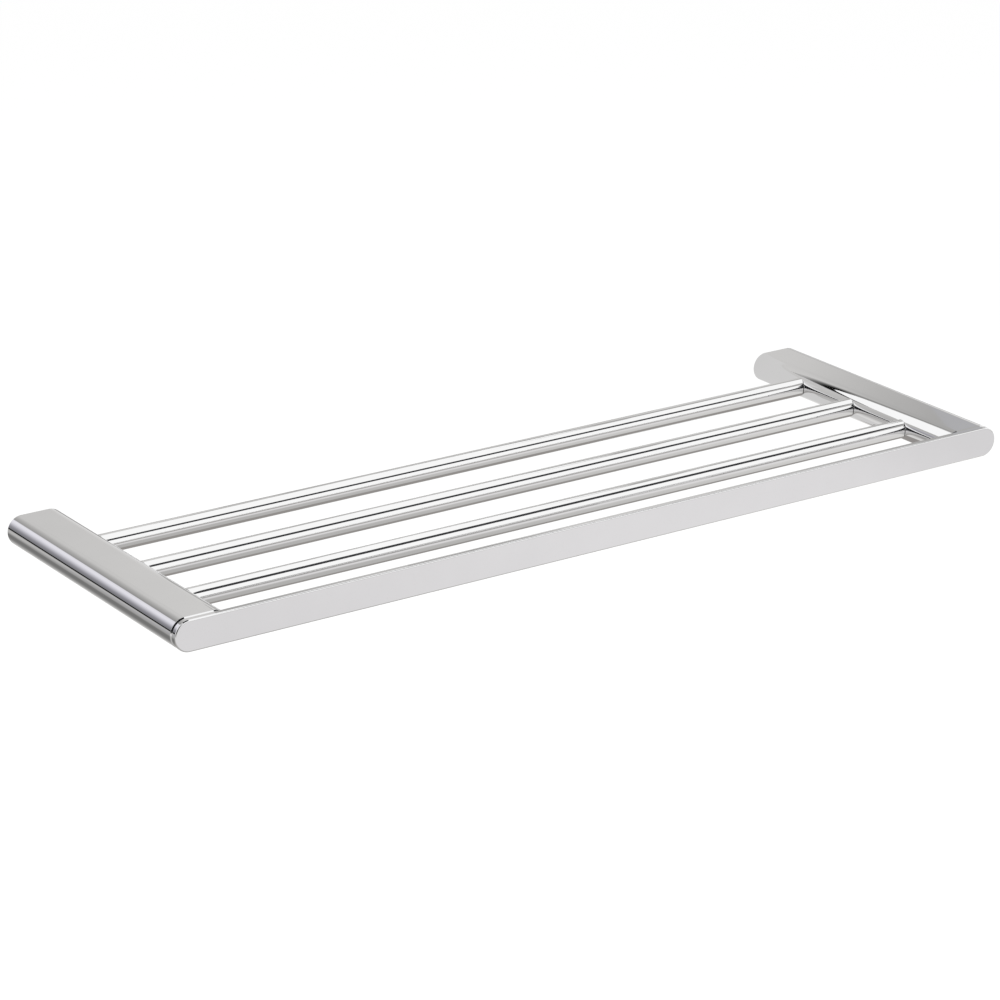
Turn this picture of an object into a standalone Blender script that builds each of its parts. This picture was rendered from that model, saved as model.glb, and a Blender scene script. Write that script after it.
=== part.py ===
"""Wall-mounted towel shelf in polished chrome.

Two hollow flat arms with half-round sides stand off the wall and a flat rail closes their front
ends. Three round tubes run between the arms, and their ends are coped to sit on the round sides.
Hidden inside are the wall brackets, plugs and screws. X runs along the rail, Y points into the
wall, and Z is up. The origin lies on the wall, midway between the arms and at half their height.
"""

import bmesh
import bpy
from math import cos, pi, radians, sin, sqrt

MM = 0.001

# Clearances
SEAT_GAP = 0.3 * MM
CUT_OVERRUN = 1.0 * MM
MERGE_DISTANCE = 0.001 * MM

# Whole rack
RACK_LENGTH = 625.0 * MM
RACK_DEPTH = 210.0 * MM
SECTION_HEIGHT = 20.0 * MM

# Arms
ARM_WIDTH = 39.0 * MM
ARM_WALL = 2.5 * MM
ARM_END_CHAMFER = 1.6 * MM

# Front rail
RAIL_THICKNESS = 4.0 * MM
RAIL_FACE_CHAMFER = 1.2 * MM
RAIL_HOLE_DEPTH = 2.8 * MM

# Cross tubes
TUBE_DIAMETER = 12.7 * MM
TUBE_WALL = 1.2 * MM
REAR_TUBE_FROM_WALL = 50.0 * MM
TUBE_PITCH = 54.0 * MM
TUBE_NAMES = ("rear_tube", "middle_tube", "front_tube")

# Plugs in the ends of the tubes
TUBE_PLUG_LENGTH = 12.0 * MM
TUBE_SPIGOT_DIAMETER = 7.0 * MM
TUBE_SPIGOT_REACH = 2.0 * MM
EDGE_CHAMFER = 0.4 * MM

# Plugs in the front ends of the arms, and the screws that hold the rail
ARM_PLUG_LENGTH = 10.0 * MM
RAIL_SCREW_DIAMETER = 4.0 * MM
RAIL_SCREW_HEAD_DIAMETER = 7.0 * MM
RAIL_SCREW_HEAD_HEIGHT = 3.0 * MM
RAIL_SCREW_SOCKET_DEPTH = 1.8 * MM
RAIL_SCREW_SOCKET_ACROSS_CORNERS = 3.4 * MM

# Wall brackets
BRACKET_LENGTH = 28.0 * MM
WALL_SCREW_HOLE_DIAMETER = 5.0 * MM
COUNTERSINK_DIAMETER = 9.6 * MM
BRACKET_LEAD_CHAMFER = 0.8 * MM
GROOVE_DEPTH = 1.6 * MM

# Grub screws under the arms
GRUB_DIAMETER = 5.0 * MM
GRUB_SOCKET_DEPTH = 1.3 * MM
GRUB_SOCKET_ACROSS_CORNERS = 2.9 * MM
GRUB_POINT_FLAT_DIAMETER = 3.2 * MM

# Facets
HALF_ROUND_STEPS = 24
TUBE_STEPS = 48
SCREW_STEPS = 24
HEXAGON_STEPS = 6
SHARP_EDGE_ANGLE = radians(30)

# Places that follow from the sizes above
SECTION_RADIUS = SECTION_HEIGHT / 2
ARM_X = RACK_LENGTH / 2 - ARM_WIDTH / 2
RAIL_BACK_Y = -RACK_DEPTH + RAIL_THICKNESS
FRAME_FRONT_Y = RAIL_BACK_Y + SEAT_GAP
BORE_WIDTH = ARM_WIDTH - 2 * ARM_WALL
BORE_HEIGHT = SECTION_HEIGHT - 2 * ARM_WALL
INSERT_WIDTH = BORE_WIDTH - 2 * SEAT_GAP
INSERT_HEIGHT = BORE_HEIGHT - 2 * SEAT_GAP
SCREW_OFFSET_X = (INSERT_WIDTH - INSERT_HEIGHT) / 2

TUBE_RADIUS = TUBE_DIAMETER / 2
TUBE_BORE_RADIUS = TUBE_RADIUS - TUBE_WALL
ROUND_CENTRE_X = RACK_LENGTH / 2 - ARM_WIDTH + SECTION_RADIUS
COPE_RADIUS = SECTION_RADIUS + SEAT_GAP
TUBE_END_X = ROUND_CENTRE_X - COPE_RADIUS

RAIL_SCREW_REACH = RAIL_HOLE_DEPTH - SEAT_GAP
RAIL_SCREW_HOLE_DIAMETER = RAIL_SCREW_DIAMETER + 2 * SEAT_GAP
SPIGOT_HOLE_DIAMETER = TUBE_SPIGOT_DIAMETER + 2 * SEAT_GAP
GRUB_HOLE_DIAMETER = GRUB_DIAMETER + 2 * SEAT_GAP
GRUB_Y = -BRACKET_LENGTH / 2
GRUB_OUTER_Z = -SECTION_RADIUS + SEAT_GAP
GRUB_TIP_Z = -INSERT_HEIGHT / 2 + GROOVE_DEPTH - SEAT_GAP

ORIGIN = (0.0, 0.0, 0.0)
NO_TURN = (0.0, 0.0, 0.0)
ALONG_X = (0.0, 0.0, -pi / 2)
ALONG_Z = (pi / 2, 0.0, 0.0)

SIDES = (("left", -1), ("right", 1))
SCREW_ROWS = (("outer", 1), ("inner", -1))


def clear_scene():
    for old in list(bpy.data.objects):
        bpy.data.objects.remove(old, do_unlink=True)


def metal(name, colour, roughness):
    """A plain metallic material."""
    material = bpy.data.materials.new(name)
    material.use_nodes = True
    shader = material.node_tree.nodes["Principled BSDF"]
    shader.inputs["Base Color"].default_value = (*colour, 1.0)
    shader.inputs["Metallic"].default_value = 1.0
    shader.inputs["Roughness"].default_value = roughness
    return material


def arm_chrome():
    return metal("arm_chrome", (0.82, 0.82, 0.83), 0.05)


def rail_chrome():
    return metal("rail_chrome", (0.83, 0.83, 0.84), 0.06)


def tube_chrome():
    return metal("tube_chrome", (0.84, 0.84, 0.84), 0.04)


def tube_plug_brass():
    return metal("tube_plug_brass", (0.62, 0.50, 0.27), 0.34)


def arm_plug_zinc():
    return metal("arm_plug_zinc", (0.55, 0.56, 0.58), 0.42)


def bracket_zinc():
    return metal("bracket_zinc", (0.55, 0.56, 0.58), 0.42)


def screw_steel():
    return metal("screw_steel", (0.60, 0.60, 0.62), 0.28)


def stadium(width, height):
    """Section of a flat bar with half-round sides: points (x, z) all the way round."""
    radius = height / 2
    centre = width / 2 - radius
    turns = [pi * step / HALF_ROUND_STEPS - pi / 2 for step in range(HALF_ROUND_STEPS + 1)]
    right = [(centre + radius * cos(turn), radius * sin(turn)) for turn in turns]
    left = [(-x, -z) for x, z in right]
    return right + left


def chamfered(width, height, chamfer):
    """Lead of a flat bar whose start is chamfered at 45 degrees all the way round."""
    return stadium(width - 2 * chamfer, height - 2 * chamfer), chamfer


def circle(radius, steps):
    """Section of a round bar: points (x, z) all the way round."""
    turns = [2 * pi * step / steps for step in range(steps)]
    return [(radius * cos(turn), radius * sin(turn)) for turn in turns]


def square_end(across, height):
    return 0.0


def coped_end(across, height):
    """End hollowed to sit round an arm's side, measured from the centre of that round."""
    return sqrt(COPE_RADIUS * COPE_RADIUS - height * height)


def bar_mesh(name, outline, start, end, bore=None, end_cut=square_end, lead=None):
    """A section pushed along Y from start to end, with shaped ends and, if given, a bore.

    A lead is the smaller outline of a chamfered start and the chamfer's length.
    """
    model = bmesh.new()

    def loop(points, place, inward):
        return [model.verts.new((x, place + inward * end_cut(x, z), z)) for x, z in points]

    if lead is None:
        rings = [loop(outline, start, 1)]
    else:
        lead_outline, lead_length = lead
        rings = [loop(lead_outline, start, 1), loop(outline, start + lead_length, 1)]
    rings.append(loop(outline, end, -1))
    walls = list(zip(rings, rings[1:]))
    if bore is None:
        model.faces.new(rings[0])
        model.faces.new(list(reversed(rings[-1])))
    else:
        bore_start = loop(bore, start, 1)
        bore_end = loop(bore, end, -1)
        walls += [(rings[-1], bore_end), (bore_end, bore_start), (bore_start, rings[0])]
    for first, second in walls:
        for this in range(len(first)):
            after = (this + 1) % len(first)
            model.faces.new((first[after], first[this], second[this], second[after]))
    bmesh.ops.recalc_face_normals(model, faces=model.faces)
    return finished_mesh(name, model)


def turned_mesh(name, profile, steps):
    """A closed profile of (radius, height) points, both ends on the axis, spun about Z."""
    model = bmesh.new()
    verts = [model.verts.new((radius, 0.0, height)) for radius, height in profile]
    edges = [model.edges.new(pair) for pair in zip(verts, verts[1:])]
    bmesh.ops.spin(
        model, geom=verts + edges, cent=(0.0, 0.0, 0.0), axis=(0.0, 0.0, 1.0),
        angle=2 * pi, steps=steps, use_merge=True)
    bmesh.ops.remove_doubles(model, verts=model.verts, dist=MERGE_DISTANCE)
    bmesh.ops.recalc_face_normals(model, faces=model.faces)
    return finished_mesh(name, model)


def finished_mesh(name, model):
    mesh = bpy.data.meshes.new(name)
    model.to_mesh(mesh)
    model.free()
    mesh.shade_smooth()
    mesh.set_sharp_from_angle(angle=SHARP_EDGE_ANGLE)
    return mesh


def place(name, mesh, material, location, turn=NO_TURN):
    """Put a mesh in the scene as a named piece."""
    piece = bpy.data.objects.new(name, mesh)
    piece.location = location
    piece.rotation_euler = turn
    mesh.materials.clear()
    mesh.materials.append(material)
    bpy.context.collection.objects.link(piece)
    return piece


def cut_away(piece, mesh, location, turn=NO_TURN):
    """Take the shape of a hidden cutter out of a piece."""
    cutter = bpy.data.objects.new(mesh.name, mesh)
    cutter.location = location
    cutter.rotation_euler = turn
    cutter.hide_render = True
    cutter.display_type = "WIRE"
    bpy.context.collection.objects.link(cutter)
    boolean = piece.modifiers.new(mesh.name, "BOOLEAN")
    boolean.operation = "DIFFERENCE"
    boolean.solver = "EXACT"
    boolean.object = cutter


def rod_cutter(name, diameter, start, end):
    return bar_mesh(name, circle(diameter / 2, SCREW_STEPS), start, end)


def screw_places(side, sign):
    """Name and X of the screw lines in one arm, on the centres of its round sides."""
    for row, outward in SCREW_ROWS:
        yield f"{side}_{row}", sign * (ARM_X + outward * SCREW_OFFSET_X)


def front_rail(material):
    """Flat plate with round ends and a chamfered face that covers the front of both arms."""
    mesh = bar_mesh(
        "front_rail", stadium(RACK_LENGTH, SECTION_HEIGHT), -RACK_DEPTH, RAIL_BACK_Y,
        lead=chamfered(RACK_LENGTH, SECTION_HEIGHT, RAIL_FACE_CHAMFER))
    rail = place("front_rail", mesh, material, ORIGIN)
    bottom_y = RAIL_BACK_Y - RAIL_HOLE_DEPTH
    mouth_y = RAIL_BACK_Y + CUT_OVERRUN
    for side, sign in SIDES:
        for row, x in screw_places(side, sign):
            cutter = rod_cutter(f"{row}_rail_hole", RAIL_SCREW_HOLE_DIAMETER, bottom_y, mouth_y)
            cut_away(rail, cutter, (x, 0.0, 0.0))


def tube_places():
    """Name and Y of each cross tube, from the wall forwards at one pitch."""
    for index, name in enumerate(TUBE_NAMES):
        yield name, -REAR_TUBE_FROM_WALL - index * TUBE_PITCH


def arms(material):
    """Two hollow flat bars with half-round sides, open at the wall and chamfered at the rail."""
    for side, sign in SIDES:
        name = f"{side}_arm"
        mesh = bar_mesh(
            name, stadium(ARM_WIDTH, SECTION_HEIGHT), FRAME_FRONT_Y, 0.0,
            bore=stadium(BORE_WIDTH, BORE_HEIGHT),
            lead=chamfered(ARM_WIDTH, SECTION_HEIGHT, ARM_END_CHAMFER))
        arm = place(name, mesh, material, (sign * ARM_X, 0.0, 0.0))
        start, end = sorted((sign * (TUBE_END_X - CUT_OVERRUN), sign * ARM_X))
        for tube, y in tube_places():
            cutter = rod_cutter(f"{side}_{tube}_hole", SPIGOT_HOLE_DIAMETER, start, end)
            cut_away(arm, cutter, (0.0, y, 0.0), ALONG_X)
        for row, x in screw_places(side, sign):
            cutter = rod_cutter(
                f"{row}_grub_hole", GRUB_HOLE_DIAMETER, -ARM_WALL - CUT_OVERRUN, CUT_OVERRUN)
            cut_away(arm, cutter, (x, GRUB_Y, -BORE_HEIGHT / 2), ALONG_Z)


def cross_tubes(material):
    """Three tubes along X, coped at both ends to sit on the arms' round sides."""
    outline = circle(TUBE_RADIUS, TUBE_STEPS)
    bore = circle(TUBE_BORE_RADIUS, TUBE_STEPS)
    for name, y in tube_places():
        mesh = bar_mesh(name, outline, -ROUND_CENTRE_X, ROUND_CENTRE_X, bore, coped_end)
        place(name, mesh, material, (0.0, y, 0.0), ALONG_X)


def tube_plugs(material):
    """Turned plugs in the tubes' ends. Their spigots pass through the arms' inner walls."""
    body = TUBE_BORE_RADIUS - SEAT_GAP
    spigot = TUBE_SPIGOT_DIAMETER / 2
    spigot_end = SEAT_GAP + ARM_WALL + TUBE_SPIGOT_REACH
    profile = (
        (0.0, spigot_end),
        (spigot - EDGE_CHAMFER, spigot_end),
        (spigot, spigot_end - EDGE_CHAMFER),
        (spigot, 0.0),
        (body, 0.0),
        (body, -TUBE_PLUG_LENGTH + EDGE_CHAMFER),
        (body - EDGE_CHAMFER, -TUBE_PLUG_LENGTH),
        (0.0, -TUBE_PLUG_LENGTH))
    for side, sign in SIDES:
        for tube, y in tube_places():
            name = f"{side}_{tube}_plug"
            mesh = turned_mesh(name, profile, SCREW_STEPS)
            place(name, mesh, material, (sign * TUBE_END_X, y, 0.0), (0.0, sign * pi / 2, 0.0))


def arm_plugs(material):
    """Blocks that close the front of the arms and take the rail's screws."""
    for side, sign in SIDES:
        name = f"{side}_arm_plug"
        outline = stadium(INSERT_WIDTH, INSERT_HEIGHT)
        mesh = bar_mesh(name, outline, FRAME_FRONT_Y, FRAME_FRONT_Y + ARM_PLUG_LENGTH)
        plug = place(name, mesh, material, (sign * ARM_X, 0.0, 0.0))
        start = FRAME_FRONT_Y - CUT_OVERRUN
        end = FRAME_FRONT_Y + ARM_PLUG_LENGTH + CUT_OVERRUN
        for row, x in screw_places(side, sign):
            cutter = rod_cutter(f"{row}_plug_hole", RAIL_SCREW_HOLE_DIAMETER, start, end)
            cut_away(plug, cutter, (x, 0.0, 0.0))


def rail_screws(material):
    """Socket-head screws, put in from inside the arms, through the plugs and into the rail."""
    shank = RAIL_SCREW_DIAMETER / 2
    head = RAIL_SCREW_HEAD_DIAMETER / 2
    reach = ARM_PLUG_LENGTH + 2 * SEAT_GAP + RAIL_SCREW_REACH
    profile = (
        (0.0, reach),
        (shank - EDGE_CHAMFER, reach),
        (shank, reach - EDGE_CHAMFER),
        (shank, 0.0),
        (head, 0.0),
        (head, -RAIL_SCREW_HEAD_HEIGHT + EDGE_CHAMFER),
        (head - EDGE_CHAMFER, -RAIL_SCREW_HEAD_HEIGHT),
        (0.0, -RAIL_SCREW_HEAD_HEIGHT))
    seat_y = FRAME_FRONT_Y + ARM_PLUG_LENGTH + SEAT_GAP
    socket_bottom = seat_y + RAIL_SCREW_HEAD_HEIGHT - RAIL_SCREW_SOCKET_DEPTH
    socket_mouth = seat_y + RAIL_SCREW_HEAD_HEIGHT + CUT_OVERRUN
    hexagon = circle(RAIL_SCREW_SOCKET_ACROSS_CORNERS / 2, HEXAGON_STEPS)
    for side, sign in SIDES:
        for row, x in screw_places(side, sign):
            name = f"{row}_rail_screw"
            mesh = turned_mesh(name, profile, SCREW_STEPS)
            screw = place(name, mesh, material, (x, seat_y, 0.0), ALONG_Z)
            socket = bar_mesh(f"{name}_socket", hexagon, socket_bottom, socket_mouth)
            cut_away(screw, socket, (x, 0.0, 0.0))


def countersink_mesh(name):
    """Cutter for a wall screw's hole with a 90 degree countersink facing the front."""
    hole = WALL_SCREW_HOLE_DIAMETER / 2
    sink = COUNTERSINK_DIAMETER / 2
    profile = (
        (0.0, BRACKET_LENGTH + CUT_OVERRUN),
        (sink + CUT_OVERRUN, BRACKET_LENGTH + CUT_OVERRUN),
        (hole, BRACKET_LENGTH - (sink - hole)),
        (hole, -CUT_OVERRUN),
        (0.0, -CUT_OVERRUN))
    return turned_mesh(name, profile, SCREW_STEPS)


def wall_brackets(material):
    """Blocks that are screwed to the wall and carry the arms."""
    groove = (
        (GROOVE_DEPTH + CUT_OVERRUN, -CUT_OVERRUN),
        (0.0, GROOVE_DEPTH),
        (-GROOVE_DEPTH - CUT_OVERRUN, -CUT_OVERRUN))
    for side, sign in SIDES:
        name = f"{side}_wall_bracket"
        mesh = bar_mesh(
            name, stadium(INSERT_WIDTH, INSERT_HEIGHT), -BRACKET_LENGTH, 0.0,
            lead=chamfered(INSERT_WIDTH, INSERT_HEIGHT, BRACKET_LEAD_CHAMFER))
        bracket = place(name, mesh, material, (sign * ARM_X, 0.0, 0.0))
        for row, x in screw_places(side, sign):
            cutter = countersink_mesh(f"{row}_wall_screw_hole")
            cut_away(bracket, cutter, (x, 0.0, 0.0), ALONG_Z)
        half_width = INSERT_WIDTH / 2 + CUT_OVERRUN
        cutter = bar_mesh(f"{side}_bracket_groove", groove, -half_width, half_width)
        cut_away(bracket, cutter, (sign * ARM_X, GRUB_Y, -INSERT_HEIGHT / 2), ALONG_X)


def grub_screws(material):
    """Socket set screws under the arms. Their points enter the brackets' grooves."""
    radius = GRUB_DIAMETER / 2
    tip = GRUB_POINT_FLAT_DIAMETER / 2 - (GRUB_TIP_Z + BORE_HEIGHT / 2)
    height = GRUB_TIP_Z - GRUB_OUTER_Z
    shoulder = -BORE_HEIGHT / 2 - GRUB_OUTER_Z
    profile = (
        (0.0, height),
        (tip, height),
        (GRUB_POINT_FLAT_DIAMETER / 2, shoulder),
        (radius, shoulder),
        (radius, EDGE_CHAMFER),
        (radius - EDGE_CHAMFER, 0.0),
        (0.0, 0.0))
    hexagon = circle(GRUB_SOCKET_ACROSS_CORNERS / 2, HEXAGON_STEPS)
    for side, sign in SIDES:
        for row, x in screw_places(side, sign):
            name = f"{row}_grub_screw"
            centre = (x, GRUB_Y, GRUB_OUTER_Z)
            screw = place(name, turned_mesh(name, profile, SCREW_STEPS), material, centre)
            socket = bar_mesh(f"{name}_socket", hexagon, -CUT_OVERRUN, GRUB_SOCKET_DEPTH)
            cut_away(screw, socket, centre, ALONG_Z)


def build_rack():
    clear_scene()
    front_rail(rail_chrome())
    arms(arm_chrome())
    cross_tubes(tube_chrome())
    tube_plugs(tube_plug_brass())
    arm_plugs(arm_plug_zinc())
    rail_screws(screw_steel())
    wall_brackets(bracket_zinc())
    grub_screws(screw_steel())


build_rack()
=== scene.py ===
"""Looks of the wall-mounted towel shelf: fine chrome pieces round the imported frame, studio and camera.

Metres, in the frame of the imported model: X along the rail, Y into the wall, Z up, origin on the wall.
"""

from math import cos, pi, radians, sin, sqrt, tan

import bmesh
import bpy
from mathutils import Matrix, Vector

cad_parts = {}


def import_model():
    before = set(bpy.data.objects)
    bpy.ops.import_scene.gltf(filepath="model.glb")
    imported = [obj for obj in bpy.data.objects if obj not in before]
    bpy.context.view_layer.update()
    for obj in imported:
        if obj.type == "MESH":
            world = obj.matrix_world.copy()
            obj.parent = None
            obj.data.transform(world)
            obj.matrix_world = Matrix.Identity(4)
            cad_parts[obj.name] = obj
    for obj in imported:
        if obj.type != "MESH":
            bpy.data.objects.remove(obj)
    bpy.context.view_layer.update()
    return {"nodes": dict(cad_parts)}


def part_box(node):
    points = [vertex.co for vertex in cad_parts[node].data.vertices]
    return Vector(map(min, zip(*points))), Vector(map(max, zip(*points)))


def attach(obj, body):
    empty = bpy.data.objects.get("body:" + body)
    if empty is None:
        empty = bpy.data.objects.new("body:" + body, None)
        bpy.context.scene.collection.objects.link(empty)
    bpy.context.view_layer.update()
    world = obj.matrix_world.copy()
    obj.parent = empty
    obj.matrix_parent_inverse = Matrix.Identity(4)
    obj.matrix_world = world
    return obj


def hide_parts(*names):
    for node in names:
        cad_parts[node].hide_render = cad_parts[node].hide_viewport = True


MM = 0.001
BODY = "root"

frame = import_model()

# Camera at the photograph's viewing angle
CAMERA_PLACE = (-1236.1 * MM, -1890.1 * MM, 786.3 * MM)
CAMERA_YAW = radians(34.377)
CAMERA_PITCH = radians(20.155)
CAMERA_ROLL = radians(0.1015)
SENSOR_WIDTH = 36.0
FOCAL_LENGTH = 129.361
CLIP_START = 0.01
CLIP_END = 200.0

# Walls and gaps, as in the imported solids
ARM_WALL = 2.5 * MM
TUBE_WALL = 1.2 * MM
SEAT_GAP = 0.3 * MM
SCREW_CLEARANCE = 0.3 * MM

# Edges. FLAT_MARGIN sets a ring of points beside each round, so that the flats stay flat
ARM_END_CHAMFER = 1.6 * MM
CHAMFER_CORNER = 0.15 * MM
RAIL_FACE_ROUND = 0.9 * MM
EDGE_BREAK = 0.25 * MM
FLAT_MARGIN = 0.05 * MM

# Fineness of the meshes
ROUND_STEPS = 72
TUBE_STEPS = 120
EDGE_STEPS = 5
TUBE_EDGE_STEPS = 3
HOLE_STEPS = 32
HOLE_OVERRUN = 1.0 * MM
SMOOTH_ANGLE = radians(35)

# Chrome that handling has dulled a little, with painted shade on its edges: a darker colour in place of a
# Fresnel-like falloff of the reflection
CHROME_HAZE_TINT = 0.985
# Painted edge shade: the darker colour the edges take, and its greatest share
CHROME_EDGE_PAINTED_SHADE = (0.86, 0.855, 0.84)
CHROME_EDGE_SHADE_SHARE = 0.4
CHROME_EDGE_POINTINESS = (0.53, 0.62)
CHROME_ROUGHNESS = (0.022, 0.036)
CHROME_LINE_ROUGHNESS = 0.014
CHROME_WORN_ROUGHNESS = 0.05
CHROME_LINE_DEPTH = 0.01 * MM

# Cast and turned metal
ZINC_DARK = (0.44, 0.45, 0.47)
ZINC_LIGHT = (0.58, 0.59, 0.61)
ZINC_ROUGHNESS = (0.38, 0.5)
ZINC_GRAIN_STRENGTH = 0.35
ZINC_GRAIN_DEPTH = 0.05 * MM
TARNISH_ROUGHNESS = 0.08
TOOL_RING_STRENGTH = 0.2
TOOL_RING_DEPTH = 0.02 * MM


class Graph:
    """Short way to write a node tree."""

    def __init__(self, tree):
        self.tree = tree

    def find(self, kind):
        return next(node for node in self.tree.nodes if node.bl_idname == kind)

    def add(self, kind, inputs=(), **settings):
        node = self.tree.nodes.new(kind)
        for name, value in settings.items():
            setattr(node, name, value)
        for name, value in dict(inputs).items():
            self.put(node.inputs[name], value)
        return node

    def put(self, socket, value):
        if isinstance(value, bpy.types.NodeSocket):
            self.tree.links.new(value, socket)
        else:
            socket.default_value = value

    def math(self, operation, *values):
        node = self.add("ShaderNodeMath", operation=operation)
        for socket, value in zip(node.inputs, values):
            self.put(socket, value)
        return node.outputs[0]

    def product(self, first, *others):
        for other in others:
            first = self.math("MULTIPLY", first, other)
        return first

    def plus(self, base, factor, value):
        """The base and a multiple of the value."""
        return self.math("MULTIPLY_ADD", value, factor, base)

    def length(self, x, y):
        return self.math("SQRT", self.math("MULTIPLY_ADD", x, x, self.product(y, y)))

    def degrees(self, opposite, adjacent):
        return self.product(self.math("ARCTAN2", opposite, adjacent), 180 / pi)

    def remap(self, value, low, high, to_low=0.0, to_high=1.0, smooth=True):
        kind = "SMOOTHSTEP" if smooth else "LINEAR"
        node = self.add("ShaderNodeMapRange", interpolation_type=kind)
        for name, given in zip(("Value", "From Min", "From Max", "To Min", "To Max"),
                               (value, low, high, to_low, to_high)):
            self.put(node.inputs[name], given)
        return node.outputs["Result"]

    def ramp(self, value, stops):
        """Colour from stops of (spot, (red, green, blue)), where the spot runs from 0 to 1."""
        node = self.add("ShaderNodeValToRGB", {"Fac": value})
        elements = node.color_ramp.elements
        while len(elements) < len(stops):
            elements.new(1.0)
        for element, (spot, _) in zip(elements, stops):
            element.position = spot
        for element, (_, colour) in zip(elements, stops):
            element.color = (*colour, 1.0)
        return node.outputs["Color"]

    def tones(self, value, low, high, stops):
        """Colour from stops of (value, tone, tint), with all values between low and high."""
        spots = [((at - low) / (high - low), tuple(tone * part for part in tint)) for at, tone, tint in stops]
        return self.ramp(self.remap(value, low, high, smooth=False), spots)

    def mix(self, factor, first, second, blend="MIX"):
        """Mix of two colours, each a socket or (red, green, blue)."""
        node = self.add("ShaderNodeMix", data_type="RGBA", blend_type=blend)
        self.put(node.inputs["Factor"], factor)
        for spot, colour in ((6, first), (7, second)):
            self.put(node.inputs[spot], (*colour, 1.0) if isinstance(colour, tuple) else colour)
        return node.outputs[2]

    def noise(self, vector, scale, detail, roughness=0.5):
        node = self.add("ShaderNodeTexNoise", {
            "Vector": vector, "Scale": scale, "Detail": detail, "Roughness": roughness})
        return node.outputs["Fac"]

    def bump(self, strength, distance, height):
        node = self.add("ShaderNodeBump", {"Strength": strength, "Distance": distance, "Height": height})
        return node.outputs["Normal"]


def material(name):
    made = bpy.data.materials.new(name)
    made.use_nodes = True
    return made, Graph(made.node_tree)


def place(name, mesh, finish, node):
    """Put a mesh in the scene as a piece that rides on the rack and stands for a node."""
    piece = bpy.data.objects.new(name, mesh)
    bpy.context.collection.objects.link(piece)
    mesh.materials.clear()
    mesh.materials.append(finish)
    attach(piece, BODY)
    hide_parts(node)


# Finishes

def metal(name):
    """Metal material: itself, its node tree and its shader's sockets."""
    made, graph = material(name)
    shader = graph.find("ShaderNodeBsdfPrincipled")
    shader.inputs["Metallic"].default_value = 1.0
    return made, graph, shader.inputs


def grain_vector(graph, scale=(1.0, 1.0, 1.0)):
    """Object coordinates. A scale that differs by axis turns a noise into polishing lines."""
    coordinates = graph.add("ShaderNodeTexCoord").outputs["Object"]
    mapping = graph.add("ShaderNodeMapping", {"Vector": coordinates, "Scale": scale})
    return mapping.outputs["Vector"]


def polished_chrome(name, colour, line_scale, line_strength):
    """Mirror-polished chrome: faint haze, buffing lines, and edges that handling has roughened and that take
    a darker colour as painted shade.
    """
    made, graph, sockets = metal(name)
    haze = graph.noise(grain_vector(graph), scale=38.0, detail=3.0, roughness=0.55)
    lines = graph.noise(grain_vector(graph, line_scale), scale=1.0, detail=4.0, roughness=0.6)
    edge = graph.remap(graph.add("ShaderNodeNewGeometry").outputs["Pointiness"], *CHROME_EDGE_POINTINESS)
    edge_wear_and_shade = graph.product(edge, graph.remap(haze, 0.35, 0.6))
    tint = tuple(CHROME_HAZE_TINT * value for value in colour)
    clean = graph.ramp(haze, ((0.35, tint), (0.65, colour)))
    # Painted shade: the edges get a darker colour, a Fresnel-like falloff painted in; their extra roughness
    # below is real wear
    graph.put(sockets["Base Color"], graph.mix(graph.product(edge_wear_and_shade, CHROME_EDGE_SHADE_SHARE), clean, CHROME_EDGE_PAINTED_SHADE))
    cloud = graph.remap(haze, 0.3, 0.7, *CHROME_ROUGHNESS)
    streaks = graph.remap(lines, 0.45, 0.75, 0.0, CHROME_LINE_ROUGHNESS)
    rough = graph.math("ADD", cloud, streaks)
    graph.put(sockets["Roughness"], graph.plus(rough, CHROME_WORN_ROUGHNESS, edge_wear_and_shade))
    graph.put(sockets["Normal"], graph.bump(line_strength, CHROME_LINE_DEPTH, lines))
    return made


def cast_zinc(name):
    """Die-cast zinc: dull blue grey, fine grain and faint flow marks."""
    made, graph, sockets = metal(name)
    flow = graph.noise(grain_vector(graph), scale=160.0, detail=4.0)
    grain = graph.noise(grain_vector(graph), scale=2600.0, detail=2.0)
    graph.put(sockets["Base Color"], graph.ramp(flow, ((0.3, ZINC_DARK), (0.7, ZINC_LIGHT))))
    graph.put(sockets["Roughness"], graph.remap(flow, 0.3, 0.7, *ZINC_ROUGHNESS))
    graph.put(sockets["Normal"], graph.bump(ZINC_GRAIN_STRENGTH, ZINC_GRAIN_DEPTH, grain))
    return made


def turned_metal(name, dark, light, roughness):
    """Turned screw or plug: fine tool rings and slight tarnish."""
    made, graph, sockets = metal(name)
    tarnish = graph.noise(grain_vector(graph), scale=300.0, detail=3.0)
    rings = graph.add("ShaderNodeTexWave", {
        "Vector": grain_vector(graph), "Scale": 1400.0, "Distortion": 1.5}, wave_type="RINGS")
    graph.put(sockets["Base Color"], graph.ramp(tarnish, ((0.3, dark), (0.7, light))))
    graph.put(sockets["Roughness"], graph.remap(tarnish, 0.3, 0.7, roughness, roughness + TARNISH_ROUGHNESS))
    graph.put(sockets["Normal"], graph.bump(TOOL_RING_STRENGTH, TOOL_RING_DEPTH, rings.outputs["Fac"]))
    return made


LINES_ALONG_X = (8.0, 900.0, 900.0)
LINES_ALONG_Y = (900.0, 8.0, 900.0)
RAIL_CHROME = polished_chrome("rail_chrome_polished", (0.94, 0.94, 0.945), LINES_ALONG_X, 0.05)
ARM_CHROME = polished_chrome("arm_chrome_polished", (0.935, 0.935, 0.94), LINES_ALONG_Y, 0.3)
TUBE_CHROME = polished_chrome("tube_chrome_polished", (0.94, 0.94, 0.94), LINES_ALONG_X, 0.05)
ZINC = cast_zinc("zinc_cast")
BRASS = turned_metal("brass_turned", (0.50, 0.38, 0.18), (0.66, 0.53, 0.28), 0.3)
STEEL = turned_metal("steel_turned", (0.50, 0.50, 0.52), (0.62, 0.62, 0.64), 0.24)


# Sections and meshes

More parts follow.
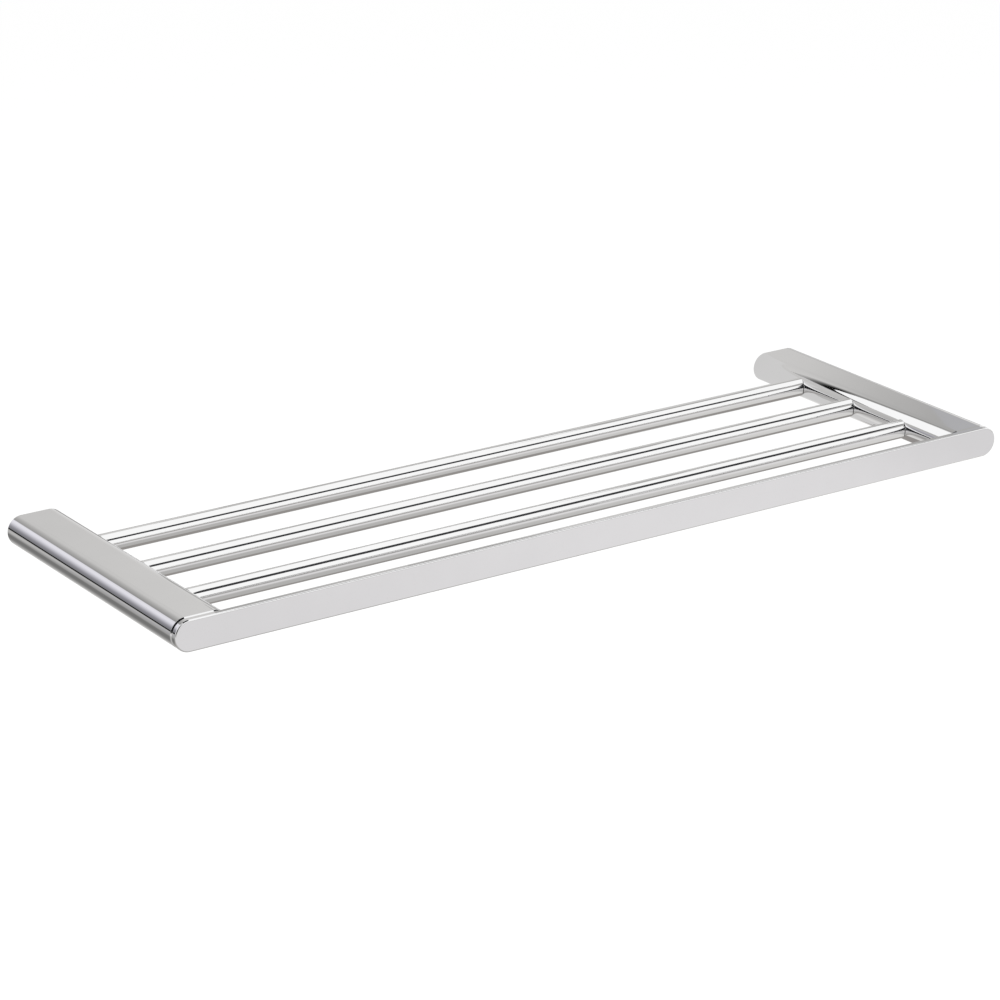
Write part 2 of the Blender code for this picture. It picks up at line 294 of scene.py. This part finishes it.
def stadium(width, height):
    """Section of a flat bar with half-round sides: points (x, z) all the way round."""
    radius = height / 2
    centre = width / 2 - radius
    turns = [pi * step / ROUND_STEPS - pi / 2 for step in range(ROUND_STEPS + 1)]
    arc = [(centre + radius * cos(turn), radius * sin(turn)) for turn in turns]
    right = [(centre - FLAT_MARGIN, -radius), *arc, (centre - FLAT_MARGIN, radius)]
    return right + [(-x, -z) for x, z in right]


def circle(radius, steps):
    turns = [2 * pi * step / steps for step in range(steps)]
    return [(radius * cos(turn), radius * sin(turn)) for turn in turns]


def quarter(size, steps=EDGE_STEPS):
    """Points (inset, depth) of a quarter-round edge, from the end face to the side."""
    turns = [pi / 2 * step / steps for step in range(steps + 1)]
    arc = [(size * (1 - sin(turn)), size * (1 - cos(turn))) for turn in turns]
    return [(size + FLAT_MARGIN, 0.0), *arc, (0.0, size + FLAT_MARGIN)]


def chamfer(size):
    """Points (inset, depth) of a 45 degree edge with softened corners, from the end face to the side."""
    reach = CHAMFER_CORNER * tan(pi / 8)
    turns = [pi / 4 * step / EDGE_STEPS for step in range(EDGE_STEPS + 1)]
    lower = [(size + reach - CHAMFER_CORNER * sin(turn), CHAMFER_CORNER * (1 - cos(turn))) for turn in turns]
    upper = [(depth, inset) for inset, depth in reversed(lower)]
    return [(size + reach + FLAT_MARGIN, 0.0), *lower, *upper, (0.0, size + reach + FLAT_MARGIN)]


def smoothed(mesh):
    mesh.shade_smooth()
    mesh.set_sharp_from_angle(angle=SMOOTH_ANGLE)
    return mesh


def lofted(name, rings, closed=False):
    """Mesh through rings of points. It has end caps, or joins its last ring to its first."""
    model = bmesh.new()
    loops = [[model.verts.new(point) for point in ring] for ring in rings]
    pairs = list(zip(loops, loops[1:]))
    if closed:
        pairs.append((loops[-1], loops[0]))
    else:
        model.faces.new(loops[0])
        model.faces.new(list(reversed(loops[-1])))
    for first, second in pairs:
        for this in range(len(first)):
            after = (this + 1) % len(first)
            model.faces.new((first[after], first[this], second[this], second[after]))
    bmesh.ops.recalc_face_normals(model, faces=model.faces)
    mesh = bpy.data.meshes.new(name)
    model.to_mesh(mesh)
    model.free()
    return smoothed(mesh)


def bar_rings(width, height, centre_x, start, end, start_edge, end_edge):
    """Rings of a flat bar along Y. Both edges are points (inset, depth) from end face to side."""
    places = [(inset, start + depth) for inset, depth in start_edge]
    places += [(inset, end - depth) for inset, depth in reversed(end_edge)]
    return [[(x + centre_x, y, z) for x, z in stadium(width - 2 * inset, height - 2 * inset)]
            for inset, y in places]


def pierced(mesh, spots, radius, bottom, top):
    """The mesh with round holes along Z cut at spots (x, y), between two heights."""
    body = bpy.data.objects.new("pierced", mesh)
    bpy.context.collection.objects.link(body)
    cutters = []
    for x, y in spots:
        rings = [[(x + across, y + along, z) for across, along in circle(radius, HOLE_STEPS)]
                 for z in (bottom, top)]
        cutter = bpy.data.objects.new("cutter", lofted("cutter", rings))
        bpy.context.collection.objects.link(cutter)
        cut = body.modifiers.new("hole", "BOOLEAN")
        cut.operation, cut.solver, cut.object = "DIFFERENCE", "EXACT", cutter
        cutters.append(cutter)
    shaped = body.evaluated_get(bpy.context.evaluated_depsgraph_get())
    result = bpy.data.meshes.new_from_object(shaped)
    for thing in (body, *cutters):
        bpy.data.objects.remove(thing)
    return smoothed(result)


# Pieces

def front_rail():
    low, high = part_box("front_rail")
    rings = bar_rings(high.x - low.x, high.z - low.z, 0.0, low.y, high.y,
                      quarter(RAIL_FACE_ROUND), quarter(EDGE_BREAK))
    place("fine_front_rail", lofted("fine_front_rail", rings), RAIL_CHROME, "front_rail")


def arm(side):
    """Hollow arm, chamfered at the front, with the holes of its two grub screws in the underside."""
    node = f"{side}_arm"
    low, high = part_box(node)
    centre_x = (low.x + high.x) / 2
    width, height = high.x - low.x, high.z - low.z
    rings = bar_rings(width, height, centre_x, low.y, high.y,
                      chamfer(ARM_END_CHAMFER), quarter(EDGE_BREAK))
    bore = stadium(width - 2 * ARM_WALL, height - 2 * ARM_WALL)
    rings += [[(x + centre_x, y, z) for x, z in bore] for y in (high.y, low.y)]
    screws = [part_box(f"{side}_{row}_grub_screw") for row in ("outer", "inner")]
    spots = [((least.x + most.x) / 2, (least.y + most.y) / 2) for least, most in screws]
    hole_radius = (screws[0][1].x - screws[0][0].x) / 2 + SCREW_CLEARANCE
    mesh = pierced(lofted(f"fine_{node}", rings, closed=True), spots, hole_radius,
                   low.z - HOLE_OVERRUN, low.z + ARM_WALL + HOLE_OVERRUN)
    place(f"fine_{node}", mesh, ARM_CHROME, node)


def tube(name):
    """Cross tube with both ends coped to the arms' half-round sides."""
    low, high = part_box(name)
    centre = (low + high) / 2
    radius = (high.z - low.z) / 2
    arm_low, arm_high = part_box("right_arm")
    side_radius = (arm_high.z - arm_low.z) / 2
    round_centre = arm_low.x + side_radius
    cope = side_radius + SEAT_GAP

    def ring(size, side, back=0.0):
        points = []
        for y, z in circle(size, TUBE_STEPS):
            reach = round_centre - sqrt(cope * cope - z * z) - back
            points.append((side * reach, centre.y + y, centre.z + z))
        return points

    edge = quarter(EDGE_BREAK, TUBE_EDGE_STEPS)
    rings = [ring(radius - inset, -1, depth) for inset, depth in edge]
    rings += [ring(radius - inset, 1, depth) for inset, depth in reversed(edge)]
    rings += [ring(radius - TUBE_WALL, side) for side in (1, -1)]
    place(f"fine_{name}", lofted(f"fine_{name}", rings, closed=True), TUBE_CHROME, name)


def dress_nodes():
    """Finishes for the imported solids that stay."""
    finishes = {"tube_plug": BRASS, "arm_plug": ZINC, "screw": STEEL, "bracket": ZINC}
    for name, node in frame["nodes"].items():
        for part, finish in finishes.items():
            if part in name:
                node.data.materials.clear()
                node.data.materials.append(finish)


# Studio. Only polished metal sees its panels, whose tones were set by tracing the rack's reflections

# Tints, of which the last three are multiplied by a tone
WHITE = (1.0, 1.0, 1.0)
BLACK = (0.01, 0.01, 0.012)
WARM = (1.0, 0.988, 0.972)
COOL = (0.975, 0.97, 1.0)
ROSE = (1.0, 0.984, 0.992)

# Floor, world and lamp
FLOOR_Z = -0.6
FLOOR_HALF = 30.0
FLOOR_GREY = (0.80, 0.80, 0.80)
FLOOR_GLOW = 0.33
WORLD_GREY = (0.82, 0.82, 0.82)
KEY_PLACE = (0.3, -0.6, 1.6)
KEY_SIZE = (1.6, 1.0)
KEY_POWER = 12.0

# Large panels: the ground, the backdrop, and the flag that stands between the points FLAG_ENDS (x, y)
GROUND_Z = -0.3
BACKDROP_Y = 20.0
BACKDROP_LEFT = -50.0
BACKDROP_RIGHT = 30.0
BACKDROP_TOP_Z = 40.0
FLAG_ENDS = ((-2.0, -8.0), (-8.0, -2.0))
FLAG_FOOT = -0.28
FLAG_TOP = 12.0

# Outlines (x, z) of the upright panels behind the rack, in layers from y = CARD_Y on
CARD_Y = 0.15
LAYER = 0.002
SOFTBOX = ((0.165, 0.203), (0.130, 0.195), (0.100, 0.190), (0.075, 0.185), (0.060, 0.190), (0.035, 0.200),
           (0.020, 0.210), (0.000, 0.222), (-0.050, 0.262), (-0.140, 0.400), (-0.140, 0.600), (0.400, 0.600),
           (0.400, 0.450), (0.360, 0.340), (0.345, 0.322), (0.325, 0.310), (0.300, 0.288), (0.285, 0.270),
           (0.265, 0.257), (0.232, 0.240), (0.215, 0.226), (0.190, 0.212))
SOFTBOX_SHADE = ((0.080, 0.176), (0.215, 0.176), (0.330, 0.235), (0.470, 0.305), (0.600, 0.400),
                 (0.600, 0.600), (0.080, 0.600))
GREY_CARD = ((-0.080, 0.000), (0.300, 0.000), (0.300, 0.175), (0.120, 0.175), (-0.050, 0.240),
             (-0.080, 0.260), (-0.080, 0.152), (-0.020, 0.152), (-0.020, 0.085), (-0.080, 0.085))
SIDE_CARD = ((0.220, 0.020), (0.330, 0.020), (0.420, 0.062), (0.600, 0.150), (0.900, 0.300), (0.900, 0.600),
             (0.220, 0.600))

# Card close behind the right arm
REAR_CARD = ((0.200, -0.150), (0.300, -0.150), (0.300, 0.050), (0.200, 0.050))
REAR_CARD_Y = 0.02
REAR_CARD_GREY = (0.64, 0.635, 0.63)

# Outlines (x, y) of the level panels over the rack
OVERHEAD_Z = 0.31
OVERHEAD_CARD_Z = 0.30
OVERHEAD_GAP = ((-0.108, -0.400), (0.53, -0.400), (0.53, -0.231), (-0.108, -0.231))
OVERHEAD_GAP_GREY = (0.045, 0.045, 0.048)
OVERHEAD_CORNER = ((-1.00, -0.50), (-0.17, -0.50), (-0.17, -0.15), (-0.16, 0.14), (-0.37, 0.14),
                   (-0.37, -0.31), (-1.00, -0.31))
OVERHEAD_END = ((0.53, -0.42), (0.66, -0.42), (0.66, 0.0), (0.53, 0.0))
OVERHEAD_END_GREY = (0.43, 0.425, 0.42)
OVERHEAD_CARD = ((0.34, -0.20), (0.34, 0.07), (0.47, 0.10), (0.50, 0.148), (0.62, 0.148), (0.53, 0.02),
                 (0.52, -0.20))

# Tones of the backdrop by degrees round, low down and high up. Pairs named TURN or RISE are the limits of a
# fade, in degrees round or up
BACKDROP_SPAN = (-60.0, 60.0)
BACKDROP_UPPER_RISE = (20.0, 36.0)
BACKDROP_LOWER = (
    (-38, 0.421, COOL), (-20, 0.403, COOL), (-8, 0.421, WARM), (0, 0.458, WARM), (8, 0.50, WARM),
    (16, 0.56, WARM), (25, 0.575, WARM), (28, 0.62, WARM), (30, 0.65, WARM), (36, 0.65, WARM),
    (38.5, 0.62, WARM), (40.5, 0.53, WARM), (42, 0.44, WARM), (43, 0.44, WARM), (45, 0.80, WARM),
    (60, 0.85, WARM))
BACKDROP_UPPER = (
    (-60, 0.458, COOL), (-40, 0.403, COOL), (-24, 0.285, WARM), (-14, 0.285, WARM), (-6, 0.37, WARM),
    (1, 0.43, WARM), (7, 0.49, WARM), (13, 0.57, WARM), (20, 0.62, WARM), (29, 0.64, WARM),
    (36, 0.63, WARM), (39.5, 0.58, WARM), (43, 0.45, WARM), (45, 0.80, WARM), (60, 0.85, WARM))
LOW_RIGHT_GREY = (0.75, 0.745, 0.745)
LOW_RIGHT_RISE = (14.0, 1.0)
LOW_RIGHT_TURN = (18.0, 26.0)

# Bright slanting panel far behind on the left: its edge is at turn + slope * rise, its colours go by rise
FAR_PANEL_SLOPE = 1.38
FAR_PANEL_EDGE = (31.5, 27.5)
FAR_PANEL_RISE = (4.0, 30.0)
FAR_PANEL = (
    (0.0, (0.21, 0.21, 0.225)), (0.154, (0.245, 0.24, 0.265)), (0.308, (0.315, 0.31, 0.34)),
    (0.46, (0.445, 0.44, 0.48)), (0.615, (0.60, 0.595, 0.64)), (0.77, (0.75, 0.74, 0.80)),
    (0.92, (0.82, 0.81, 0.86)), (1.0, (0.77, 0.76, 0.81)))

# Dark line where the backdrop meets the ground. It fades to half and then to nothing on the right
FOOT_SPAN = (-1.0, 7.0)
FOOT = ((0.76, 0.0, WHITE), (2.04, 1.0, WHITE))
FOOT_HALF_TURN = (14.0, 22.0)
FOOT_END_TURN = (31.0, 35.0)

# Slanting top of the backdrop, at z / y + slope * x / y
TOP_SLOPE = 0.55
TOP_EDGE = (1.44, 1.46)

# Tones of the ground by x, near the rack and in front of it, and by -x behind it. They follow each other
# between limits in y
GROUND_SPAN = (-1.0, 2.0)
GROUND_NEAR_Y = (-0.75, -0.45)
GROUND_BEHIND_Y = (-0.05, 0.20)
GROUND_NEAR = ((-1, 0.45, WARM), (-0.1, 0.457, WARM), (0.1, 0.485, WARM), (0.35, 0.604, WARM),
               (0.5, 0.686, WARM), (0.8, 0.677, WARM), (2, 0.66, WARM))
GROUND_FRONT = ((-1, 0.70, ROSE), (0.1, 0.714, ROSE), (0.46, 0.762, ROSE), (0.72, 0.753, ROSE),
                (0.88, 0.69, ROSE), (2, 0.66, ROSE))
GROUND_BEHIND_SPAN = (0.0, 4.0)
GROUND_BEHIND = ((0.0, 0.732, WARM), (0.20, 0.567, WARM), (0.34, 0.311, WARM), (0.45, 0.188, WARM),
                 (0.62, 0.183, WARM), (0.80, 0.366, WARM), (1.2, 0.421, COOL), (2.2, 0.458, COOL),
                 (4, 0.384, COOL))

# Patches of the ground: a colour, and the limits between which each measure fades it in. The slant is
# y + slope * x
SLANT_SLOPE = 0.9
GROUND_PATCHES = {
    "far right": ((0.48, 0.474, 0.466), (("y", 0.44, 0.52), ("slant", 0.15, 0.25))),
    # Painted shadow: a dark patch right below the rack stands in for its shadow on the floor
    "painted shadow below the rack": ((0.30, 0.285, 0.275), (("y", -0.18, -0.12), ("y", 0.22, 0.18))),
    "front": ((0.44, 0.43, 0.42), (("y", -1.05, -1.35),)),
    "beyond": ((0.25, 0.243, 0.237), (("distance", 2.0, 3.2), ("x", 0.3, 1.0), ("y", 0.5, 1.0))),
    "far left": ((0.02, 0.02, 0.02), (("distance", 3.6, 5.2), ("x", 0.8, 0.0), ("y", 0.0, 1.0)))}

# Tones of the grey card by x and of the side card by x + z, with its cool part where x + slope * z is large
GREY_CARD_SPAN = (-0.1, 0.3)
GREY_CARD_TONES = ((-0.08, 0.40, WARM), (-0.04, 0.42, WARM), (0.0, 0.475, WARM), (0.05, 0.53, WARM),
                   (0.12, 0.57, WARM), (0.2, 0.60, WARM))
SIDE_CARD_SPAN = (0.2, 1.2)
SIDE_CARD_TONES = ((0.38, 0.635, WARM), (0.47, 0.62, WARM), (0.54, 0.60, WARM), (0.60, 0.54, WARM),
                   (0.66, 0.48, WARM), (0.72, 0.435, WARM), (0.745, 0.415, WARM), (0.80, 0.40, WARM),
                   (1.2, 0.38, WARM))
SIDE_CARD_COOL = (0.435, 0.435, 0.447)
COOL_SLOPE = -0.92
COOL_EDGE = (0.439, 0.443)

# Tones of the shade beside the softbox by x + slope * z + offset, which is 0 at the softbox's slanting edge.
# The dark ones fade to the pale ones above and below, between limits in z
SHADE_SLOPE = -1.86
SHADE_OFFSET = 0.186
SHADE_ABOVE_Z = (0.232, 0.262)
SHADE_BELOW_Z = (0.190, 0.172)
SHADE_SPAN = (-0.04, 0.15)
SHADE_DARK = ((-0.04, 0.005, WARM), (0.0, 0.005, WARM), (0.02, 0.11, WARM), (0.04, 0.25, WARM),
              (0.06, 0.44, WARM), (0.08, 0.53, WARM), (0.10, 0.59, WARM), (0.15, 0.62, WARM))
SHADE_PALE = ((-0.04, 0.45, WARM), (-0.01, 0.27, WARM), (0.0, 0.25, WARM), (0.02, 0.27, WARM),
              (0.04, 0.33, WARM), (0.06, 0.40, WARM), (0.08, 0.45, WARM), (0.15, 0.50, WARM))


def seen_white(graph):
    """1 for rays from the camera and for the reflections and refractions it sees."""
    path = graph.add("ShaderNodeLightPath")
    mirror = graph.math("MAXIMUM", path.outputs["Is Glossy Ray"], path.outputs["Is Transmission Ray"])
    return graph.math("MAXIMUM", path.outputs["Is Camera Ray"], mirror)


def world():
    """Plain grey light that the camera and mirrors see as white."""
    made = bpy.data.worlds.new("studio")
    made.use_nodes = True
    bpy.context.scene.world = made
    graph = Graph(made.node_tree)
    shade = graph.find("ShaderNodeBackground")
    graph.put(shade.inputs["Color"], graph.mix(seen_white(graph), WORLD_GREY, WHITE))
    shade.inputs["Strength"].default_value = 1.0


def stage_face(name, corners, finish, mirror_only=False):
    """Flat face of the studio, seen by all or by polished metal alone."""
    mesh = bpy.data.meshes.new(name)
    mesh.from_pydata(corners, [], [tuple(range(len(corners)))])
    mesh.materials.append(finish)
    thing = bpy.data.objects.new(name, mesh)
    bpy.context.collection.objects.link(thing)
    if mirror_only:
        thing.visible_camera = False
        thing.visible_diffuse = False
        thing.visible_shadow = False
        thing.visible_volume_scatter = False


def panel(name, corners, colour):
    """Glowing panel that only polished metal sees. Colour is a value, or a function of its node tree."""
    made, graph = material(name)
    graph.tree.nodes.remove(graph.find("ShaderNodeBsdfPrincipled"))
    glow = graph.add("ShaderNodeEmission", {"Strength": 1.0})
    graph.put(glow.inputs["Color"], colour(graph) if callable(colour) else (*colour, 1.0))
    graph.put(graph.find("ShaderNodeOutputMaterial").inputs["Surface"], glow.outputs[0])
    stage_face(name, corners, made, mirror_only=True)


def level(outline, z):
    return [(x, y, z) for x, y in outline]


def upright(outline, y):
    return [(x, y, z) for x, z in outline]


def wide(half, back):
    """Outline (x, y) of a face that reaches half to the left, right and front, and to y = back behind."""
    return ((-half, -half), (half, -half), (half, back), (-half, back))


def standing(start, end, bottom, top):
    """Corners of an upright face over the line between two points (x, y)."""
    return [(*start, bottom), (*end, bottom), (*end, top), (*start, top)]


def position(graph):
    spot = graph.add("ShaderNodeNewGeometry").outputs["Position"]
    return graph.add("ShaderNodeSeparateXYZ", {"Vector": spot}).outputs


def backdrop_tones(graph):
    """Grey backdrop: tones by the degrees round and up at which the rack sees it."""
    x, y, z = position(graph)
    turn = graph.degrees(x, y)
    rise = graph.degrees(z, graph.length(x, y))
    lower = graph.tones(turn, *BACKDROP_SPAN, BACKDROP_LOWER)
    upper = graph.tones(turn, *BACKDROP_SPAN, BACKDROP_UPPER)
    grey = graph.mix(graph.remap(rise, *BACKDROP_UPPER_RISE), lower, upper)
    low_right = graph.product(graph.remap(rise, *LOW_RIGHT_RISE), graph.remap(turn, *LOW_RIGHT_TURN))
    grey = graph.mix(low_right, grey, LOW_RIGHT_GREY)
    far_panel = graph.ramp(graph.remap(rise, *FAR_PANEL_RISE, smooth=False), FAR_PANEL)
    edge = graph.plus(turn, FAR_PANEL_SLOPE, rise)
    grey = graph.mix(graph.remap(edge, *FAR_PANEL_EDGE), grey, far_panel)
    foot = graph.tones(rise, *FOOT_SPAN, FOOT)
    foot = graph.mix(graph.remap(turn, *FOOT_HALF_TURN, 0.0, 0.5), foot, WHITE)
    foot = graph.mix(graph.remap(turn, *FOOT_END_TURN), foot, WHITE)
    grey = graph.mix(1.0, grey, foot, blend="MULTIPLY")
    top = graph.plus(graph.math("DIVIDE", z, y), TOP_SLOPE, graph.math("DIVIDE", x, y))
    return graph.mix(graph.remap(top, *TOP_EDGE), grey, WHITE)


def ground_tones(graph):
    """Pale floor that darkens to the left behind the rack, with the rack's painted shadow right below it."""
    x, y, _ = position(graph)
    near = graph.tones(x, *GROUND_SPAN, GROUND_NEAR)
    front = graph.tones(x, *GROUND_SPAN, GROUND_FRONT)
    behind = graph.tones(graph.product(x, -1.0), *GROUND_BEHIND_SPAN, GROUND_BEHIND)
    tone = graph.mix(graph.remap(y, *GROUND_NEAR_Y), front, near)
    tone = graph.mix(graph.remap(y, *GROUND_BEHIND_Y), tone, behind)
    measures = {"x": x, "y": y, "slant": graph.plus(y, SLANT_SLOPE, x), "distance": graph.length(x, y)}
    for colour, limits in GROUND_PATCHES.values():
        fades = [graph.remap(measures[name], low, high) for name, low, high in limits]
        # One patch is the rack's painted shadow below it
        tone = graph.mix(graph.product(*fades), tone, colour)
    return tone


def grey_card_tones(graph):
    """Grey that brightens to the right."""
    x, _, _ = position(graph)
    return graph.tones(x, *GREY_CARD_SPAN, GREY_CARD_TONES)


def side_card_tones(graph):
    """Grey that darkens up and to the right, with a cool lower right corner."""
    x, _, z = position(graph)
    grey = graph.tones(graph.math("ADD", x, z), *SIDE_CARD_SPAN, SIDE_CARD_TONES)
    return graph.mix(graph.remap(graph.plus(x, COOL_SLOPE, z), *COOL_EDGE), grey, SIDE_CARD_COOL)


def softbox_shade_tones(graph):
    """Soft shade along the softbox's slanting edge, black only at the middle of its height."""
    x, _, z = position(graph)
    away = graph.math("ADD", graph.plus(x, SHADE_SLOPE, z), SHADE_OFFSET)
    dark = graph.tones(away, *SHADE_SPAN, SHADE_DARK)
    pale = graph.tones(away, *SHADE_SPAN, SHADE_PALE)
    outside = graph.math("MAXIMUM", graph.remap(z, *SHADE_ABOVE_Z), graph.remap(z, *SHADE_BELOW_Z))
    return graph.mix(outside, dark, pale)


def panels():
    """All panels. Each card stands a layer behind the one before it, so that the earlier hides the later."""
    panel("backdrop", standing((BACKDROP_LEFT, BACKDROP_Y), (BACKDROP_RIGHT, BACKDROP_Y),
                               GROUND_Z, BACKDROP_TOP_Z), backdrop_tones)
    panel("ground", level(wide(FLOOR_HALF, BACKDROP_Y), GROUND_Z), ground_tones)
    panel("softbox", upright(SOFTBOX, CARD_Y), WHITE)
    panel("softbox_shade", upright(SOFTBOX_SHADE, CARD_Y + LAYER), softbox_shade_tones)
    panel("grey_card", upright(GREY_CARD, CARD_Y + 2 * LAYER), grey_card_tones)
    panel("side_card", upright(SIDE_CARD, CARD_Y + 3 * LAYER), side_card_tones)
    panel("rear_card", upright(REAR_CARD, REAR_CARD_Y), REAR_CARD_GREY)
    panel("overhead_gap", level(OVERHEAD_GAP, OVERHEAD_Z), OVERHEAD_GAP_GREY)
    panel("overhead_corner", level(OVERHEAD_CORNER, OVERHEAD_Z), BLACK)
    panel("overhead_end", level(OVERHEAD_END, OVERHEAD_Z), OVERHEAD_END_GREY)
    panel("overhead_card", level(OVERHEAD_CARD, OVERHEAD_CARD_Z), WHITE)
    panel("front_flag", standing(*FLAG_ENDS, FLAG_FOOT, FLAG_TOP), BLACK)


def floor():
    """Pale floor that looks white and keeps the rack's shadow."""
    made, graph = material("floor_paper")
    base = graph.find("ShaderNodeBsdfPrincipled")
    base.inputs["Roughness"].default_value = 0.9
    base.inputs["Specular IOR Level"].default_value = 0.0
    base.inputs["Base Color"].default_value = (*FLOOR_GREY, 1.0)
    base.inputs["Emission Color"].default_value = (*WHITE, 1.0)
    graph.put(base.inputs["Emission Strength"], graph.product(seen_white(graph), FLOOR_GLOW))
    stage_face("floor", level(wide(FLOOR_HALF, FLOOR_HALF), FLOOR_Z), made)


def lamp():
    """Soft light from above that the chrome doesn't mirror."""
    light = bpy.data.lights.new("soft_key", "AREA")
    light.shape = "RECTANGLE"
    light.size, light.size_y = KEY_SIZE
    light.energy = KEY_POWER
    thing = bpy.data.objects.new("soft_key", light)
    thing.location = KEY_PLACE
    thing.rotation_euler = Vector(KEY_PLACE).to_track_quat("Z", "Y").to_euler()
    thing.visible_glossy = False
    bpy.context.collection.objects.link(thing)


def camera():
    lens = bpy.data.cameras.new("camera")
    lens.sensor_width = SENSOR_WIDTH
    lens.lens = FOCAL_LENGTH
    lens.clip_start = CLIP_START
    lens.clip_end = CLIP_END
    thing = bpy.data.objects.new("camera", lens)
    bpy.context.collection.objects.link(thing)
    forward = Vector((sin(CAMERA_YAW) * cos(CAMERA_PITCH),
                      cos(CAMERA_YAW) * cos(CAMERA_PITCH),
                      -sin(CAMERA_PITCH)))
    level_axis = forward.cross(Vector((0.0, 0.0, 1.0))).normalized()
    upright_axis = level_axis.cross(forward)
    right = cos(CAMERA_ROLL) * level_axis + sin(CAMERA_ROLL) * upright_axis
    up = -sin(CAMERA_ROLL) * level_axis + cos(CAMERA_ROLL) * upright_axis
    turn = Matrix((right, up, -forward)).transposed()
    thing.matrix_world = Matrix.Translation(CAMERA_PLACE) @ turn.to_4x4()
    bpy.context.scene.camera = thing


camera()
front_rail()
for side in ("left", "right"):
    arm(side)
for name in ("rear_tube", "middle_tube", "front_tube"):
    tube(name)
dress_nodes()
world()
panels()
floor()
lamp()
bpy.context.scene.view_settings.view_transform = "Standard"
